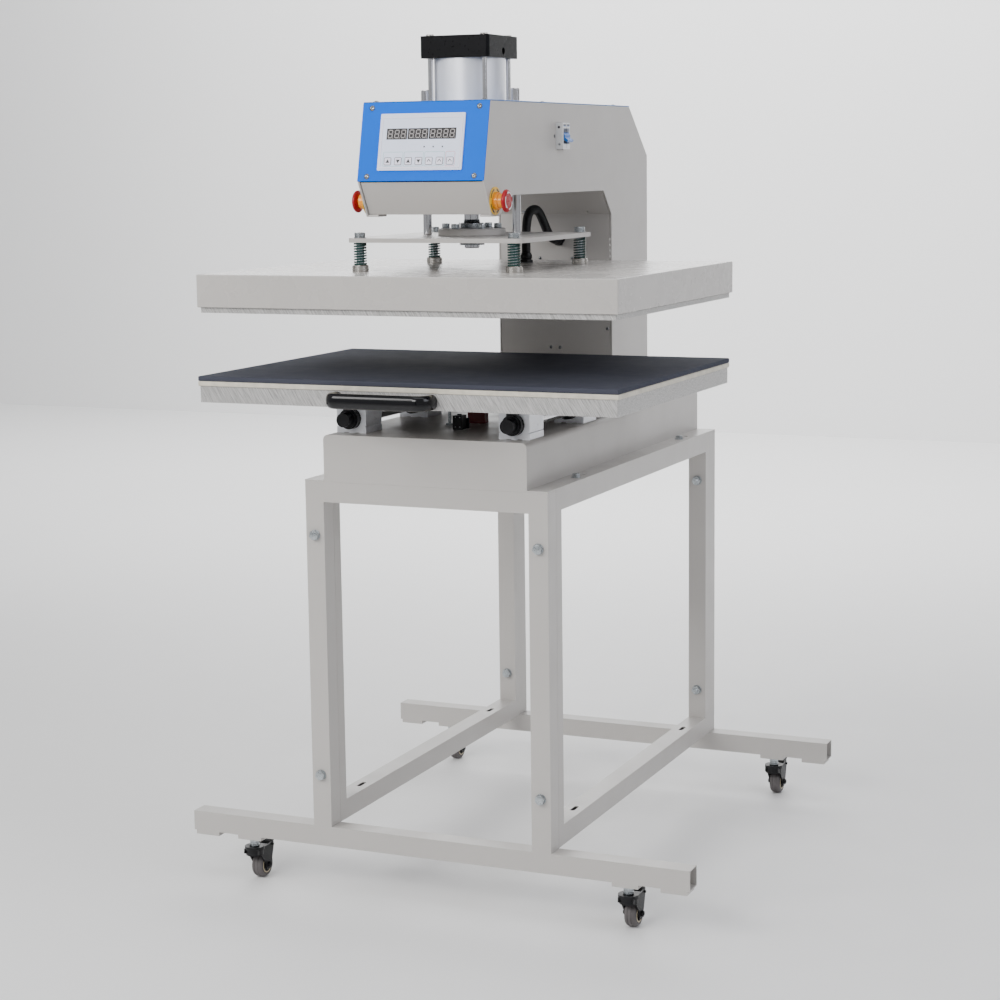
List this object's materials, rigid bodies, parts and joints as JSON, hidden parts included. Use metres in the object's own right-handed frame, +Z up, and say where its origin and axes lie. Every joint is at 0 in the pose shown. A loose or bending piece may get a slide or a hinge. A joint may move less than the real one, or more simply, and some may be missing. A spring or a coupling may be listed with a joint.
{
  "type": "heat press",
  "caption": "Pneumatic heat press with a C-shaped head, spring-hung heated platen and pull-out lower platen on a wheeled tube stand.",
  "frame": {"origin": "on the floor under the middle of the whole machine, left to right and front to back, handle and rear brake pedals included", "axes": "front (handle, control panel) faces -Y, +X to the right seen from the front, +Z up"},
  "size_m": [1.01, 1.12, 1.593],
  "materials": {
    "powder_coat": "light warm grey fine-textured powder coat, semi-gloss",
    "blue_coat": "azure blue powder coat, semi-gloss",
    "module_film": "pale lavender-white printed membrane film, satin",
    "zinc": "bright zinc plating",
    "ground_steel": "ground and polished hard chrome",
    "bearing_steel": "turned steel",
    "mill_steel": "milled plain steel",
    "satin_aluminium": "satin anodised",
    "milled_aluminium": "diagonal saw and milling marks",
    "cast_aluminium": "cast, machined underside",
    "black_anodised": "black anodised, satin",
    "spring_green": "dark green enamel",
    "board": "woven glass and mineral fibre board",
    "felt": "cream felt",
    "pad_rubber": "dark grey silicone rubber sheet, fine texture",
    "black_plastic": "gloss black",
    "matte_black": "matt black nylon",
    "estop_yellow": "orange-yellow",
    "estop_red": "red",
    "breaker_white": "white",
    "breaker_blue": "blue",
    "tyre": "dark grey polyurethane"
  },
  "bodies": {
    "frame": {"front_leg_frame": "powder_coat", "rear_leg_frame": "powder_coat", "side_frames": "powder_coat", "frame_bolts": "zinc", "base_housing": "powder_coat", "rail_blocks": "satin_aluminium", "linear_bushings": "bearing_steel", "drawer_switch": "matte_black", "left_side_plate": "powder_coat", "right_side_plate": "powder_coat", "column_front_cover": "powder_coat", "column_rear_cover": "powder_coat", "head_top_cover": "blue_coat", "nose_panel": "blue_coat", "nose_lower_cover": "powder_coat", "control_module": "module_film", "cover_screws": "zinc", "bearing_plate": "powder_coat", "cylinder_caps": "black_anodised", "cylinder_barrel": "satin_aluminium", "tie_rods": "ground_steel", "estop_bases": "estop_yellow", "breaker_body": "breaker_white", "conduit": "matte_black", "cable_glands": "matte_black", "caster_stems": "zinc"},
    "platen": {"heater_cover": "powder_coat", "heating_plate": "cast_aluminium", "insulation_board": "board", "spring_collars": "zinc", "suspension_bolts": "zinc", "suspension_springs": "spring_green", "platen_gland": "matte_black"},
    "carriage": {"pressure_plate": "powder_coat", "piston_coupling": "mill_steel", "piston_rod": "ground_steel", "guide_rods": "ground_steel"},
    "drawer": {"lower_platen": "milled_aluminium", "pad_backing": "felt", "press_pad": "pad_rubber", "pull_handle": "black_plastic", "drawer_shafts": "ground_steel", "drawer_brackets": "matte_black"},
    "left_estop_push": {"left_estop_plunger": "estop_red"},
    "left_estop_twist": {"left_estop_cap": "estop_red"},
    "right_estop_push": {"right_estop_plunger": "estop_red"},
    "right_estop_twist": {"right_estop_cap": "estop_red"},
    "toggle": {"breaker_toggle": "breaker_blue"},
    "caster_fl": {"fork_fl": "matte_black"},
    "wheel_fl": {"wheel_fl": "tyre"},
    "brake_fl": {"pedal_fl": "matte_black"},
    "caster_fr": {"fork_fr": "matte_black"},
    "wheel_fr": {"wheel_fr": "tyre"},
    "brake_fr": {"pedal_fr": "matte_black"},
    "caster_rl": {"fork_rl": "matte_black"},
    "wheel_rl": {"wheel_rl": "tyre"},
    "brake_rl": {"pedal_rl": "matte_black"},
    "caster_rr": {"fork_rr": "matte_black"},
    "wheel_rr": {"wheel_rr": "tyre"},
    "brake_rr": {"pedal_rr": "matte_black"}
  },
  "joints": [
    {"name": "press_slide", "type": "slide", "parent": "frame", "child": "platen", "axis": [0, 0, -1], "range_m": [0, 0.1147], "deforming": ["conduit"]},
    {"name": "spring_float", "type": "slide", "parent": "platen", "child": "carriage", "axis": [0, 0, -1], "range_m": [0, 0.008], "stiffness_N_per_m": 60000, "springref_m": -0.003, "deforming": ["suspension_springs"]},
    {"name": "drawer_slide", "type": "slide", "parent": "frame", "child": "drawer", "axis": [0, -1, 0], "range_m": [0, 0.18]},
    {"name": "left_estop_press", "type": "slide", "parent": "frame", "child": "left_estop_push", "axis": [1, 0, 0], "range_m": [0, 0.005], "stiffness_N_per_m": 2500, "springref_m": -0.001},
    {"name": "left_estop_turn", "type": "hinge", "parent": "left_estop_push", "child": "left_estop_twist", "pos_m": [-0.141, -0.3745, 1.297], "axis": [-1, 0, 0], "range_deg": [0, 35], "stiffness_Nm_per_rad": 0.4},
    {"name": "right_estop_press", "type": "slide", "parent": "frame", "child": "right_estop_push", "axis": [-1, 0, 0], "range_m": [0, 0.005], "stiffness_N_per_m": 2500, "springref_m": -0.001},
    {"name": "right_estop_turn", "type": "hinge", "parent": "right_estop_push", "child": "right_estop_twist", "pos_m": [0.141, -0.3745, 1.297], "axis": [1, 0, 0], "range_deg": [0, 35], "stiffness_Nm_per_rad": 0.4},
    {"name": "breaker_switch", "type": "hinge", "parent": "frame", "child": "toggle", "pos_m": [0.133, -0.067, 1.411], "axis": [0, -1, 0], "range_deg": [0, 70]},
    {"name": "swivel_fl", "type": "hinge", "parent": "frame", "child": "caster_fl", "pos_m": [-0.383, -0.409, 0.065], "axis": [0, 0, 1], "continuous": true},
    {"name": "wheel_spin_fl", "type": "hinge", "parent": "caster_fl", "child": "wheel_fl", "pos_m": [-0.383, -0.382, 0.025], "axis": [1, 0, 0], "continuous": true},
    {"name": "brake_press_fl", "type": "hinge", "parent": "caster_fl", "child": "brake_fl", "pos_m": [-0.383, -0.368, 0.062], "axis": [-1, 0, 0], "range_deg": [0, 14]},
    {"name": "swivel_fr", "type": "hinge", "parent": "frame", "child": "caster_fr", "pos_m": [0.383, -0.409, 0.065], "axis": [0, 0, 1], "continuous": true},
    {"name": "wheel_spin_fr", "type": "hinge", "parent": "caster_fr", "child": "wheel_fr", "pos_m": [0.383, -0.382, 0.025], "axis": [1, 0, 0], "continuous": true},
    {"name": "brake_press_fr", "type": "hinge", "parent": "caster_fr", "child": "brake_fr", "pos_m": [0.383, -0.368, 0.062], "axis": [-1, 0, 0], "range_deg": [0, 14]},
    {"name": "swivel_rl", "type": "hinge", "parent": "frame", "child": "caster_rl", "pos_m": [-0.383, 0.498, 0.065], "axis": [0, 0, 1], "continuous": true},
    {"name": "wheel_spin_rl", "type": "hinge", "parent": "caster_rl", "child": "wheel_rl", "pos_m": [-0.383, 0.525, 0.025], "axis": [1, 0, 0], "continuous": true},
    {"name": "brake_press_rl", "type": "hinge", "parent": "caster_rl", "child": "brake_rl", "pos_m": [-0.383, 0.539, 0.062], "axis": [-1, 0, 0], "range_deg": [0, 14]},
    {"name": "swivel_rr", "type": "hinge", "parent": "frame", "child": "caster_rr", "pos_m": [0.383, 0.498, 0.065], "axis": [0, 0, 1], "continuous": true},
    {"name": "wheel_spin_rr", "type": "hinge", "parent": "caster_rr", "child": "wheel_rr", "pos_m": [0.383, 0.525, 0.025], "axis": [1, 0, 0], "continuous": true},
    {"name": "brake_press_rr", "type": "hinge", "parent": "caster_rr", "child": "brake_rr", "pos_m": [0.383, 0.539, 0.062], "axis": [-1, 0, 0], "range_deg": [0, 14]}
  ]
}
